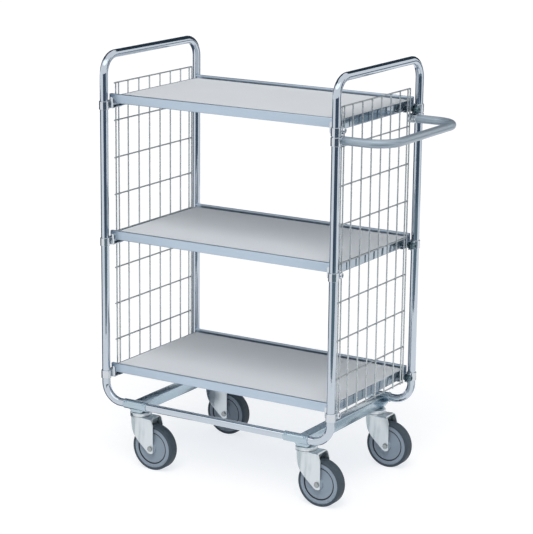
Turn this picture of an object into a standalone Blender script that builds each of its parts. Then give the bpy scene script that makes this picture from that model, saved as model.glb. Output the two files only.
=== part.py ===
"""Shelf trolley: two bent tube end frames, three shelves, wire mesh ends, a push handle, four casters.

Metres, +Z up. +X points to the end with the push handle, -Y is the open front.
The origin lies on the floor, below the centre of the bounding box.
"""
import math

import bmesh
import bpy
from mathutils import Matrix, Vector

# Running and seating clearance between neighbours, and how far a cutter passes a surface
GAP = 0.0003
OVERRUN = 0.004

# End frames and base tubes
POST_SPAN_X = 0.700
POST_SPAN_Y = 0.440
HOOP_Z = 1.120
TUBE_R = 0.011
TUBE_WALL = 0.0015
BEND_R = 0.050
BEND_STEPS = 5
TUBE_SIDES = 12
BORE_SIDES = 8

# Casters, measured from the swivel axis
TRAIL = 0.046
WHEEL_R = 0.0625
WHEEL_WIDTH = 0.032
WHEEL_SIDES = 24
TREAD_WIDTH = 0.020
TYRE_SHOULDER = 0.0045
TYRE_THICKNESS = 0.007
TYRE_SEAT_WIDTH = 0.029
RIM_DEPTH = 0.0132
GUARD_STEP = 0.0013
GUARD_INSET = 0.0025
HUB_BOSS_R = 0.014
AXLE_R = 0.004
AXLE_SIDES = 8
AXLE_HEAD_R = 0.008
AXLE_HEAD_HEIGHT = 0.0045
FORK_HEADROOM = 0.021
FORK_HALF_GAP = 0.022
FORK_PLATE = 0.003
FORK_BEND_R = 0.006
FORK_TIP_R = 0.014
FORK_CROWN_PAST = 0.004
SWIVEL_SIDES = 12
RACE_HEIGHT = 0.0037
RACE_WIDTH = 0.009
CUP_HEIGHT = 0.011
CUP_WALL = 0.003
CUP_CHAMFER = 0.0025
CUP_TO_FORK = 0.001
KINGPIN_R = 0.006
KINGPIN_NUT_R = 0.010
KINGPIN_NUT_HEIGHT = 0.006
STUD_HEIGHT = 0.018

# Outline of a fork leg: (share of the trail, share of the rise) measured from the axle.
# The first three run down the front edge to the rounded tip, the last three up the rear edge.
FORK_FRONT_SHARES = ((-1.35, 1.0), (-1.28, 0.59), (-1.07, 0.30))
FORK_REAR_SHARES = ((0.33, 0.13), (0.25, 0.60), (0.11, 0.91))

# Joint sleeves, feet and cross members under the bottom shelf
SLEEVE_LENGTH = 0.073
SLEEVE_WALL = 0.002
SLEEVE_RUN = 0.012
CROSS_SHIFT = 0.009
CROSS_WIDTH = 0.030
CROSS_HEIGHT = 0.030
CROSS_RISE = 0.004
CROSS_WALL = 0.002
CROSS_END_INSET = 0.010
FOOT_LENGTH = 0.065
FOOT_WIDTH = 0.023
FOOT_TAPER_X = 0.015
FOOT_TAPER_Z = 0.011
CASTER_INSET_Y = 0.035

# Shelves: heights are the tops of the raised lips
SHELF_RISE = 0.103
SHELF_DROP = 0.100
SHELF_COUNT = 3
TRIM_INSET_X = 0.010
TRIM_INSET_Y = 0.010
TRIM_STEP_IN = 0.008
TRIM_HEIGHT = 0.026
TRIM_STEP_TOP = 0.0085
TRIM_STEP_BOTTOM = 0.0125
TRIM_WALL = 0.0015
TRIM_LEDGE = 0.0135
LIP_RISE = 0.009
BAND_TO_TUBE = 0.001
BAND_WALL = 0.002
BAND_LIP = 0.001
BAND_HEIGHT = 0.027
BAND_FLANGE = 0.015

# Shelf clamps, measured from the axis of their post
CLAMP_WALL = 0.0025
CLAMP_HEIGHT = 0.022
CLAMP_DROP = 0.031
EAR_THICKNESS = 0.004
EAR_SPLIT = 0.003
BOLT_REACH = 0.024
BOLT_SHANK_R = 0.004
BOLT_HEAD_R = 0.008
BOLT_HEAD_HEIGHT = 0.008
BOLT_SIDES = 6
NUT_HEIGHT = 0.0035
ARM_IN_X = 0.012
ARM_WIDTH = 0.011
ARM_REACH = 0.050
ARM_THICKNESS = 0.003
LUG_IN_X = 0.004
LUG_REACH = 0.020
TAB_TOP_DROP = 0.008
TAB_THICKNESS = 0.003

# Push handle and its clamps
HANDLE_REACH = 0.133
HANDLE_BEND_R = 0.0615
HANDLE_BEND_STEPS = 6
HANDLE_OFFSET_Y = 0.023
HANDLE_END_PAST = 0.014
HANDLE_SLEEVE_WALL = 0.0018
HANDLE_SLEEVE_LENGTH = 0.024
HANDLE_SLEEVE_SHIFT = 0.003
HANDLE_CLEARANCE = 0.0007

# Wire mesh end panels
WIRE_R = 0.002
WIRE_SIDES = 6
WELD_SINK = 0.0007
WIRE_COUNT_Y = 6
WIRE_COUNT_Z = 9
WIRE_SELVEDGE_STEP = 0.043
WIRE_EDGE_STEP = 0.013
WIRE_END_PAST = 0.0026
WIRE_TOP_RISE = 0.024
WIRE_BOTTOM_DROP = 0.042

# Places worked out from the sizes above
POST_X = POST_SPAN_X / 2
POST_Y = POST_SPAN_Y / 2
BORE_R = TUBE_R + GAP
SLEEVE_R = TUBE_R + SLEEVE_WALL
CLAMP_R = TUBE_R + CLAMP_WALL
HANDLE_SLEEVE_R = TUBE_R + HANDLE_SLEEVE_WALL
FORK_TOP_Z = WHEEL_R * 2 + FORK_HEADROOM
CROSS_BOTTOM_Z = FORK_TOP_Z + CUP_HEIGHT
CROSS_TOP_Z = CROSS_BOTTOM_Z + CROSS_HEIGHT
BASE_Z = CROSS_TOP_Z - CROSS_RISE
SLEEVE_X = POST_X - BEND_R - SLEEVE_RUN - SLEEVE_LENGTH / 2
CROSS_X = SLEEVE_X + CROSS_SHIFT
CASTER_Y = POST_Y - CASTER_INSET_Y
TYRE_FACE_R = WHEEL_R - TYRE_SHOULDER
TYRE_SEAT_R = WHEEL_R - TYRE_THICKNESS
RIM_INNER_R = TYRE_SEAT_R - RIM_DEPTH
GUARD_R = RIM_INNER_R - GUARD_STEP
FORK_CROWN_R = FORK_HALF_GAP + FORK_PLATE + FORK_CROWN_PAST
CUP_R = FORK_CROWN_R
RACE_OUTER_R = CUP_R - CUP_WALL - GAP * 2
RACE_INNER_R = RACE_OUTER_R - RACE_WIDTH
TRIM_HALF_LENGTH = POST_X - TRIM_INSET_X
TRIM_FACE_Y = POST_Y - TRIM_INSET_Y
TRIM_LIP_Y = TRIM_FACE_Y - TRIM_STEP_IN
BAND_FACE_X = POST_X - TUBE_R - BAND_TO_TUBE
BAND_INNER_X = BAND_FACE_X - BAND_WALL
BAND_BOTTOM_DROP = LIP_RISE - BAND_LIP + BAND_HEIGHT
BOARD_THICKNESS = TRIM_HEIGHT - LIP_RISE - TRIM_WALL - GAP
SHELF_NAMES = ("bottom", "middle", "top")
BOTTOM_LIP_Z = BASE_Z + SHELF_RISE
TOP_LIP_Z = HOOP_Z - SHELF_DROP
SHELF_PITCH = (TOP_LIP_Z - BOTTOM_LIP_Z) / (SHELF_COUNT - 1)
LIP_HEIGHTS = [BOTTOM_LIP_Z + SHELF_PITCH * i for i in range(SHELF_COUNT)]
TOP_RING_Z = TOP_LIP_Z - CLAMP_DROP
EAR_REACH = BOLT_REACH + BOLT_HEAD_R
HANDLE_Z = TOP_RING_Z - CLAMP_HEIGHT / 2 - HANDLE_CLEARANCE - HANDLE_SLEEVE_R
HANDLE_Y = POST_Y - HANDLE_OFFSET_Y
HANDLE_BAR_X = POST_X + HANDLE_REACH
WIRE_END_Y = HANDLE_Y - HANDLE_SLEEVE_R - GAP * 2
WIRE_EDGE_Y = WIRE_END_Y - WIRE_END_PAST
WIRE_SELVEDGE_Y = WIRE_EDGE_Y - WIRE_EDGE_STEP
WIRE_INNER_Y = WIRE_SELVEDGE_Y - WIRE_SELVEDGE_STEP
WIRE_TOP_Z = TOP_LIP_Z + WIRE_TOP_RISE
WIRE_BOTTOM_Z = BOTTOM_LIP_Z - WIRE_BOTTOM_DROP
# The ring of the left clamps and the bar of the handle bound the trolley along X
CENTRE_X = (HANDLE_BAR_X + TUBE_R - POST_X - CLAMP_R) / 2


# Mesh helpers

def to_mesh(bm, name):
    bmesh.ops.recalc_face_normals(bm, faces=bm.faces)
    mesh = bpy.data.meshes.new(name)
    bm.to_mesh(mesh)
    bm.free()
    return mesh


def joined(meshes):
    """Several closed bodies in one mesh, for use as one operand of a boolean."""
    bm = bmesh.new()
    for mesh in meshes:
        bm.from_mesh(mesh)
    return to_mesh(bm, "joined")


def boolean(base, tool, operation):
    """Mesh of one boolean step between two meshes."""
    base_object = bpy.data.objects.new("base", base)
    tool_object = bpy.data.objects.new("tool", tool)
    for thing in (base_object, tool_object):
        bpy.context.collection.objects.link(thing)
    step = base_object.modifiers.new("step", "BOOLEAN")
    step.operation = operation
    step.solver = "EXACT"
    step.object = tool_object
    graph = bpy.context.evaluated_depsgraph_get()
    result = bpy.data.meshes.new_from_object(base_object.evaluated_get(graph))
    bpy.data.objects.remove(base_object)
    bpy.data.objects.remove(tool_object)
    return result


def union(first, *others):
    for other in others:
        first = boolean(first, other, "UNION")
    return first


def cut(first, *others):
    for other in others:
        first = boolean(first, other, "DIFFERENCE")
    return first


def moved(mesh, x=0.0, y=0.0, z=0.0):
    copy = mesh.copy()
    copy.transform(Matrix.Translation((x, y, z)))
    return copy


def mirrored(mesh, axis):
    """Mirror image across the plane square to an axis, with its faces turned out again."""
    copy = mesh.copy()
    copy.transform(Matrix.Scale(-1, 4, axis))
    copy.flip_normals()
    return copy


def box(x_range, y_range, z_range):
    bm = bmesh.new()
    bmesh.ops.create_cube(bm, size=1)
    ranges = (x_range, y_range, z_range)
    size = [high - low for low, high in ranges]
    centre = [(low + high) / 2 for low, high in ranges]
    bmesh.ops.transform(bm, matrix=Matrix.Translation(centre) @ Matrix.Diagonal(size + [1]), verts=bm.verts)
    return to_mesh(bm, "box")


def placer(axis):
    """Point from two places across an axis and one along it: X takes (y, z), Y (x, z), Z (x, y)."""
    return {
        "X": lambda p, q, along: (along, p, q),
        "Y": lambda p, q, along: (p, along, q),
        "Z": lambda p, q, along: (p, q, along),
    }[axis]


def prism(outline, low, high, axis):
    """A flat outline pushed from low to high along an axis."""
    point = placer(axis)
    bm = bmesh.new()
    near = [bm.verts.new(point(p, q, low)) for p, q in outline]
    far = [bm.verts.new(point(p, q, high)) for p, q in outline]
    bm.faces.new(near)
    bm.faces.new(far)
    for k in range(len(outline)):
        bm.faces.new((near[k - 1], near[k], far[k], far[k - 1]))
    return to_mesh(bm, "prism")


def turned(profile, sides, axis="Z", closed=False):
    """A profile of (radius, place along the axis) turned about the axis, with a facet facing down."""
    point = placer(axis)
    bm = bmesh.new()
    angles = [math.tau * (k + 0.5) / sides for k in range(sides)]
    rings = []
    for radius, along in profile:
        if radius == 0:
            rings.append([bm.verts.new(point(0, 0, along))])
            continue
        rings.append([bm.verts.new(point(radius * math.sin(a), radius * math.cos(a), along)) for a in angles])
    pairs = list(zip(rings, rings[1:]))
    if closed:
        pairs.append((rings[-1], rings[0]))
    for first, second in pairs:
        for k in range(sides):
            corners = [first[k % len(first)], first[(k + 1) % len(first)]]
            corners += [second[(k + 1) % len(second)], second[k % len(second)]]
            bm.faces.new(list(dict.fromkeys(corners)))
    return to_mesh(bm, "turned")


def facet_radius(radius, sides):
    """Corner radius of a ring of flat facets that lie no closer to the axis than radius."""
    return radius / math.cos(math.pi / sides)


def round_bar(radius, half_length, axis, sides=TUBE_SIDES):
    """A straight round bar about the origin, its corners on the cross axes as on the swept tubes."""
    angles = [math.tau * k / sides for k in range(sides)]
    outline = [(radius * math.cos(a), radius * math.sin(a)) for a in angles]
    return prism(outline, -half_length, half_length, axis)


def bent_path(corners, radius, steps):
    """Points along straight runs whose inner corners are rounded by arcs."""
    points = [Vector(corners[0])]
    for before, corner, after in zip(corners, corners[1:], corners[2:]):
        corner = Vector(corner)
        back = (Vector(before) - corner).normalized()
        ahead = (Vector(after) - corner).normalized()
        centre = corner + (back + ahead) * radius
        for step in range(steps + 1):
            angle = math.pi / 2 * step / steps
            points.append(centre - ahead * radius * math.cos(angle) - back * radius * math.sin(angle))
    points.append(Vector(corners[-1]))
    return points


def swept(path, radius, up, sides=TUBE_SIDES):
    """A solid round bar along a path; its rings are carried along without twist."""
    bm = bmesh.new()
    rings = []
    angles = [math.tau * k / sides for k in range(sides)]
    side = Vector(up)
    heading = (path[1] - path[0]).normalized()
    for i, point in enumerate(path):
        before = path[max(i - 1, 0)]
        after = path[min(i + 1, len(path) - 1)]
        tangent = (after - point).normalized() + (point - before).normalized()
        tangent.normalize()
        side = heading.rotation_difference(tangent) @ side
        heading = tangent
        across = heading.cross(side)
        spokes = [side * math.cos(a) + across * math.sin(a) for a in angles]
        rings.append([bm.verts.new(point + spoke * radius) for spoke in spokes])
    for first, second in zip(rings, rings[1:]):
        for k in range(sides):
            bm.faces.new((first[k], first[k - 1], second[k - 1], second[k]))
    bm.faces.new(rings[0])
    bm.faces.new(rings[-1])
    return to_mesh(bm, "swept")


def tube(corners, bend_radius, steps, up):
    """A bent tube with open ends: the bore is the same path, run on past both ends."""
    path = bent_path(corners, bend_radius, steps)
    bore = [point.copy() for point in path]
    bore[0] += (path[0] - path[1]).normalized() * OVERRUN
    bore[-1] += (path[-1] - path[-2]).normalized() * OVERRUN
    return cut(swept(path, TUBE_R, up), swept(bore, TUBE_R - TUBE_WALL, up, BORE_SIDES))


# Materials and placing

def material(name, colour, roughness, metallic):
    shade = bpy.data.materials.new(name)
    shade.use_nodes = True
    principled = shade.node_tree.nodes["Principled BSDF"]
    principled.inputs["Base Color"].default_value = (*colour, 1)
    principled.inputs["Roughness"].default_value = roughness
    principled.inputs["Metallic"].default_value = metallic
    return shade


def make_materials():
    return {
        "chrome": material("chrome", (0.62, 0.66, 0.72), 0.12, 1.0),
        "zinc": material("zinc_plate", (0.66, 0.69, 0.70), 0.35, 1.0),
        "cross": material("plated_cross_member", (0.42, 0.50, 0.60), 0.25, 1.0),
        "trim": material("anodised_trim", (0.60, 0.70, 0.80), 0.30, 0.9),
        "board": material("laminate_board", (0.64, 0.66, 0.70), 0.55, 0.0),
        "wire": material("plated_wire", (0.52, 0.53, 0.56), 0.25, 1.0),
        "handle": material("satin_handle", (0.26, 0.32, 0.39), 0.45, 0.6),
        "tyre": material("grey_rubber", (0.08, 0.09, 0.11), 0.75, 0.0),
        "hub": material("grey_plastic_hub", (0.16, 0.19, 0.22), 0.50, 0.0),
    }


def place(name, mesh, shade, parent, location=(0, 0, 0), turn=0.0, smooth=35):
    """One named object; repeated pieces share their mesh and its material."""
    if not mesh.materials:
        mesh.materials.append(shade)
    mesh.shade_smooth()
    mesh.set_sharp_from_angle(angle=math.radians(smooth))
    thing = bpy.data.objects.new(name, mesh)
    bpy.context.collection.objects.link(thing)
    thing.parent = parent
    thing.location = location
    thing.rotation_euler = (0, 0, turn)
    return thing


def empty(name, location, parent=None):
    thing = bpy.data.objects.new(name, None)
    thing.empty_display_size = TUBE_R
    bpy.context.collection.objects.link(thing)
    thing.location = location
    thing.parent = parent
    return thing


# Frame and base

def build_frames(root, shades):
    for name, side in (("left", -1), ("right", 1)):
        foot_x = side * (SLEEVE_X + GAP / 2)
        post_x = side * POST_X
        corners = [
            (foot_x, -POST_Y, BASE_Z),
            (post_x, -POST_Y, BASE_Z),
            (post_x, -POST_Y, HOOP_Z),
            (post_x, POST_Y, HOOP_Z),
            (post_x, POST_Y, BASE_Z),
            (foot_x, POST_Y, BASE_Z),
        ]
        mesh = tube(corners, BEND_R, BEND_STEPS, (0, 1, 0))
        place(f"end_frame_{name}", mesh, shades["chrome"], root)


def build_base(root, shades):
    half = SLEEVE_X - GAP / 2
    bar = round_bar(TUBE_R, half, "X")
    bore = round_bar(TUBE_R - TUBE_WALL, half + OVERRUN, "X", BORE_SIDES)
    rail = cut(bar, bore)
    for name, side in (("front", -1), ("rear", 1)):
        place(f"base_rail_{name}", rail, shades["chrome"], root, (0, side * POST_Y, BASE_Z))
    cross = cross_member()
    place("cross_member_right", cross, shades["cross"], root)
    place("cross_member_left", mirrored(cross, Vector((1, 0, 0))), shades["cross"], root)


def cross_member():
    """Square tube on two tapered feet, with a sleeve for the joint of the base tubes at each end."""
    x_low = CROSS_X - CROSS_WIDTH / 2
    x_high = CROSS_X + CROSS_WIDTH / 2
    end_y = POST_Y - CROSS_END_INSET
    body = box((x_low, x_high), (-end_y, end_y), (CROSS_BOTTOM_Z, CROSS_TOP_Z))
    half = FOOT_LENGTH / 2
    taper_x = half - FOOT_TAPER_X
    taper_z = CROSS_BOTTOM_Z + FOOT_TAPER_Z
    foot_outline = [
        (CROSS_X - half, BASE_Z),
        (CROSS_X - half, taper_z),
        (CROSS_X - taper_x, CROSS_BOTTOM_Z + GAP),
        (CROSS_X + taper_x, CROSS_BOTTOM_Z + GAP),
        (CROSS_X + half, taper_z),
        (CROSS_X + half, BASE_Z),
    ]
    foot_y = POST_Y - BORE_R
    for side in (-1, 1):
        ends = sorted((side * foot_y, side * (foot_y - FOOT_WIDTH)))
        foot = prism(foot_outline, *ends, "Y")
        sleeve = moved(round_bar(SLEEVE_R, SLEEVE_LENGTH / 2, "X"), SLEEVE_X, side * POST_Y, BASE_Z)
        body = union(body, foot, sleeve)
    inner_y = POST_Y - SLEEVE_R - CROSS_WALL
    inner_x = (x_low + CROSS_WALL, x_high - CROSS_WALL)
    hollow = box(inner_x, (-inner_y, inner_y), (CROSS_BOTTOM_Z + CROSS_WALL, CROSS_TOP_Z - CROSS_WALL))
    body = cut(body, hollow)
    hole = round_bar(facet_radius(KINGPIN_R + GAP, SWIVEL_SIDES), CROSS_WALL + OVERRUN, "Z", SWIVEL_SIDES)
    for side in (-1, 1):
        bore = round_bar(BORE_R, SLEEVE_LENGTH / 2 + OVERRUN, "X")
        body = cut(body, moved(bore, SLEEVE_X, side * POST_Y, BASE_Z))
        body = cut(body, moved(hole, CROSS_X, side * CASTER_Y, CROSS_BOTTOM_Z))
    return body


# Shelves

def build_shelves(root, shades):
    board_x = BAND_INNER_X - GAP
    board_y = TRIM_LIP_Y - TRIM_WALL - GAP
    board = box((-board_x, board_x), (-board_y, board_y), (-LIP_RISE - BOARD_THICKNESS, -LIP_RISE))
    front = edge_trim()
    rear = mirrored(front, Vector((0, 1, 0)))
    right = end_band(board_y)
    left = mirrored(right, Vector((1, 0, 0)))
    for level, height in zip(SHELF_NAMES, LIP_HEIGHTS):
        at = (0, 0, height)
        place(f"{level}_shelf_board", board, shades["board"], root, at)
        place(f"{level}_shelf_trim_front", front, shades["trim"], root, at)
        place(f"{level}_shelf_trim_rear", rear, shades["trim"], root, at)
        place(f"{level}_shelf_band_right", right, shades["trim"], root, at)
        place(f"{level}_shelf_band_left", left, shades["trim"], root, at)


def edge_trim():
    """Front trim: a raised lip, a step outward to the face and a ledge under the board."""
    lip_in = TRIM_LIP_Y - TRIM_WALL
    face_in = TRIM_FACE_Y - TRIM_WALL
    outline = [
        (-lip_in, 0),
        (-TRIM_LIP_Y, 0),
        (-TRIM_LIP_Y, -TRIM_STEP_TOP),
        (-TRIM_FACE_Y, -TRIM_STEP_BOTTOM),
        (-TRIM_FACE_Y, -TRIM_HEIGHT),
        (-(face_in - TRIM_LEDGE), -TRIM_HEIGHT),
        (-(face_in - TRIM_LEDGE), -TRIM_HEIGHT + TRIM_WALL),
        (-face_in, -TRIM_HEIGHT + TRIM_WALL),
        (-face_in, -TRIM_STEP_BOTTOM - TRIM_WALL / 2),
        (-lip_in, -TRIM_STEP_TOP - TRIM_WALL / 2),
    ]
    body = prism(outline, -TRIM_HALF_LENGTH, TRIM_HALF_LENGTH, "X")
    notch_y = (-(lip_in + GAP), -(face_in - TRIM_LEDGE) + OVERRUN)
    notch_z = (-TRIM_HEIGHT - OVERRUN, OVERRUN)
    for side in (-1, 1):
        ends = sorted((side * (BAND_INNER_X - GAP), side * (TRIM_HALF_LENGTH + OVERRUN)))
        body = cut(body, box(ends, notch_y, notch_z))
    return body


def end_band(half_length):
    """Right end band: an upright web with a ledge that carries the board and a foot flange."""
    flange_x = BAND_INNER_X - BAND_FLANGE
    ledge_top = -LIP_RISE - BOARD_THICKNESS - GAP
    outline = [
        (BAND_FACE_X, -LIP_RISE + BAND_LIP),
        (BAND_FACE_X, -BAND_BOTTOM_DROP),
        (flange_x, -BAND_BOTTOM_DROP),
        (flange_x, -BAND_BOTTOM_DROP + BAND_WALL),
        (BAND_INNER_X, -BAND_BOTTOM_DROP + BAND_WALL),
        (BAND_INNER_X, ledge_top - BAND_WALL),
        (flange_x, ledge_top - BAND_WALL),
        (flange_x, ledge_top),
        (BAND_INNER_X, ledge_top),
        (BAND_INNER_X, -LIP_RISE + BAND_LIP),
    ]
    body = prism(outline, -half_length, half_length, "Y")
    # The flanges stop short of the trims' ledges, the web runs on to the lips
    ledge_y = TRIM_FACE_Y - TRIM_WALL - TRIM_LEDGE - GAP
    for side in (-1, 1):
        ends = sorted((side * ledge_y, side * (half_length + OVERRUN)))
        x_range = (flange_x - OVERRUN, BAND_INNER_X - GAP)
        body = cut(body, box(x_range, ends, (-BAND_BOTTOM_DROP - OVERRUN, OVERRUN)))
    return body


# Clamps

def build_clamps(root, shades):
    """Twelve shelf clamps: one hand serves front right and rear left, its mirror image the others."""
    front_right = shelf_clamp()
    rear_right = mirrored(front_right, Vector((0, 1, 0)))
    corners = (
        ("front_right", 1, -1, front_right, 0.0),
        ("rear_left", -1, 1, front_right, math.pi),
        ("rear_right", 1, 1, rear_right, 0.0),
        ("front_left", -1, -1, rear_right, math.pi),
    )
    for level, height in zip(SHELF_NAMES, LIP_HEIGHTS):
        for corner, side_x, side_y, mesh, turn in corners:
            at = (side_x * POST_X, side_y * POST_Y, height - CLAMP_DROP)
            place(f"{level}_clamp_{corner}", mesh, shades["chrome"], root, at, turn)


def shelf_clamp():
    """Front right clamp about the post's axis: split ring, ears with a bolt, arm, lug and hook tab."""
    half = CLAMP_HEIGHT / 2
    ring = round_bar(CLAMP_R, half, "Z")
    ear_x = EAR_SPLIT / 2 + EAR_THICKNESS
    ears = box((-ear_x, ear_x), (0, EAR_REACH), (-half + GAP, half - GAP))
    arm_top = CLAMP_DROP - BAND_BOTTOM_DROP - GAP
    arm_bottom = arm_top - ARM_THICKNESS
    hook_y = POST_Y - TRIM_FACE_Y - GAP
    arm_far = -(ARM_IN_X + ARM_WIDTH)
    arm_outline = [
        (-LUG_IN_X, hook_y - TAB_THICKNESS),
        (arm_far, hook_y - TAB_THICKNESS),
        (arm_far, ARM_REACH - ARM_WIDTH / 2),
        (arm_far + ARM_WIDTH / 3, ARM_REACH),
        (-ARM_IN_X, ARM_REACH),
        (-ARM_IN_X, LUG_REACH),
        (-LUG_IN_X, LUG_REACH),
    ]
    arm = prism(arm_outline, arm_bottom, arm_top, "Z")
    tab_top = CLAMP_DROP - TAB_TOP_DROP
    tab_mid = -(ARM_IN_X + ARM_WIDTH / 2)
    tab_r = ARM_WIDTH / 2 - GAP
    crown = [math.pi * k / 4 for k in range(5)]
    tab_outline = [(tab_mid + tab_r * math.cos(a), tab_top - tab_r + tab_r * math.sin(a)) for a in crown]
    tab_outline += [(tab_mid - tab_r, arm_bottom + GAP), (tab_mid + tab_r, arm_bottom + GAP)]
    tab = prism(tab_outline, hook_y - TAB_THICKNESS + GAP, hook_y, "Y")
    body = union(ring, ears, arm, tab)
    bore = round_bar(BORE_R, half + OVERRUN, "Z")
    split = box((-EAR_SPLIT / 2, EAR_SPLIT / 2), (0, EAR_REACH + OVERRUN), (-half - OVERRUN, half + OVERRUN))
    body = cut(body, bore, split)
    bolt_profile = [
        (0, -ear_x - NUT_HEIGHT),
        (BOLT_HEAD_R, -ear_x - NUT_HEIGHT),
        (BOLT_HEAD_R, -ear_x + GAP),
        (BOLT_SHANK_R, -ear_x + GAP),
        (BOLT_SHANK_R, ear_x - GAP),
        (BOLT_HEAD_R, ear_x - GAP),
        (BOLT_HEAD_R, ear_x + BOLT_HEAD_HEIGHT),
        (0, ear_x + BOLT_HEAD_HEIGHT),
    ]
    bolt = moved(turned(bolt_profile, BOLT_SIDES, "X"), 0, BOLT_REACH, 0)
    return union(body, bolt)


def build_handle(root, shades):
    end_x = POST_X - HANDLE_END_PAST
    corners = [
        (end_x, -HANDLE_Y, HANDLE_Z),
        (HANDLE_BAR_X, -HANDLE_Y, HANDLE_Z),
        (HANDLE_BAR_X, HANDLE_Y, HANDLE_Z),
        (end_x, HANDLE_Y, HANDLE_Z),
    ]
    bow = tube(corners, HANDLE_BEND_R, HANDLE_BEND_STEPS, (0, 0, 1))
    place("push_handle", bow, shades["handle"], root)
    front = handle_clamp()
    place("handle_clamp_front", front, shades["chrome"], root)
    place("handle_clamp_rear", mirrored(front, Vector((0, 1, 0))), shades["chrome"], root)


def handle_clamp():
    """Front handle clamp: a ring round the post and a sleeve round the leg of the handle."""
    half = CLAMP_HEIGHT / 2
    ring = moved(round_bar(CLAMP_R, half, "Z"), POST_X, -POST_Y, HANDLE_Z)
    sleeve_half = HANDLE_SLEEVE_LENGTH / 2
    sleeve_at = (POST_X - HANDLE_SLEEVE_SHIFT, -HANDLE_Y, HANDLE_Z)
    sleeve = moved(round_bar(HANDLE_SLEEVE_R, sleeve_half, "X"), *sleeve_at)
    post_bore = moved(round_bar(BORE_R, half + OVERRUN, "Z"), POST_X, -POST_Y, HANDLE_Z)
    leg_bore = moved(round_bar(BORE_R, sleeve_half + OVERRUN, "X"), *sleeve_at)
    return cut(union(ring, sleeve), post_bore, leg_bore)


# Wire mesh panels

def build_panels(root, shades):
    """Welded mesh: upright wires on the +X side of the level wires, sunk into each other at the welds."""
    layer = WIRE_R * 2 - WELD_SINK
    inner = spread(-WIRE_INNER_Y, WIRE_INNER_Y, WIRE_COUNT_Y)
    places_y = [-WIRE_EDGE_Y, -WIRE_SELVEDGE_Y] + inner + [WIRE_SELVEDGE_Y, WIRE_EDGE_Y]
    places_z = spread(WIRE_BOTTOM_Z, WIRE_TOP_Z, WIRE_COUNT_Z)
    middle = (WIRE_TOP_Z + WIRE_BOTTOM_Z) / 2
    upright = wire((WIRE_TOP_Z - WIRE_BOTTOM_Z) / 2 + WIRE_R, "Z")
    level = wire(WIRE_END_Y, "Y")
    uprights = joined([moved(upright, layer, y, middle) for y in places_y])
    levels = joined([moved(level, 0, 0, z) for z in places_z])
    panel = union(uprights, levels)
    near = BAND_FACE_X + GAP + WIRE_R
    place("mesh_panel_right", panel, shades["wire"], root, (near, 0, 0))
    place("mesh_panel_left", panel, shades["wire"], root, (-near - layer, 0, 0))


def spread(first, last, count):
    """Evenly spaced places from first to last."""
    return [first + (last - first) * k / (count - 1) for k in range(count)]


def wire(half_length, axis):
    """A straight wire with one corner towards X, so that crossing wires meet on their corners."""
    return round_bar(WIRE_R, half_length, axis, WIRE_SIDES)


# Casters

def build_casters(root, shades):
    head = caster_head()
    fork = caster_fork()
    axle = caster_axle()
    tyre = caster_tyre()
    hub = caster_hub()
    for corner, side_x, side_y in (
        ("front_left", -1, -1),
        ("front_right", 1, -1),
        ("rear_left", -1, 1),
        ("rear_right", 1, 1),
    ):
        x = side_x * CROSS_X
        y = side_y * CASTER_Y
        place(f"caster_{corner}_head", head, shades["zinc"], root, (x, y, CROSS_BOTTOM_Z))
        swivel = empty(f"caster_{corner}_swivel", (x, y, WHEEL_R), root)
        place(f"caster_{corner}_fork", fork, shades["zinc"], swivel)
        place(f"caster_{corner}_axle", axle, shades["zinc"], swivel, (TRAIL, 0, 0))
        spin = empty(f"caster_{corner}_spin", (TRAIL, 0, 0), swivel)
        place(f"caster_{corner}_tyre", tyre, shades["tyre"], spin)
        place(f"caster_{corner}_hub", hub, shades["hub"], spin)


def caster_head():
    """Fixed half of the swivel: stud, skirted cup, kingpin and the nut that holds the fork up."""
    fork_top = FORK_TOP_Z - CROSS_BOTTOM_Z
    ceiling = fork_top + RACE_HEIGHT + GAP
    nut_top = fork_top - FORK_PLATE - GAP
    profile = [
        (0, STUD_HEIGHT),
        (KINGPIN_R, STUD_HEIGHT),
        (KINGPIN_R, -GAP),
        (CUP_R - CUP_CHAMFER, -GAP),
        (CUP_R, -GAP - CUP_CHAMFER),
        (CUP_R, fork_top + CUP_TO_FORK),
        (CUP_R - CUP_WALL, fork_top + CUP_TO_FORK),
        (CUP_R - CUP_WALL, ceiling),
        (KINGPIN_R, ceiling),
        (KINGPIN_R, nut_top),
        (KINGPIN_NUT_R, nut_top),
        (KINGPIN_NUT_R, nut_top - KINGPIN_NUT_HEIGHT),
        (0, nut_top - KINGPIN_NUT_HEIGHT),
    ]
    return turned(profile, SWIVEL_SIDES)


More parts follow.
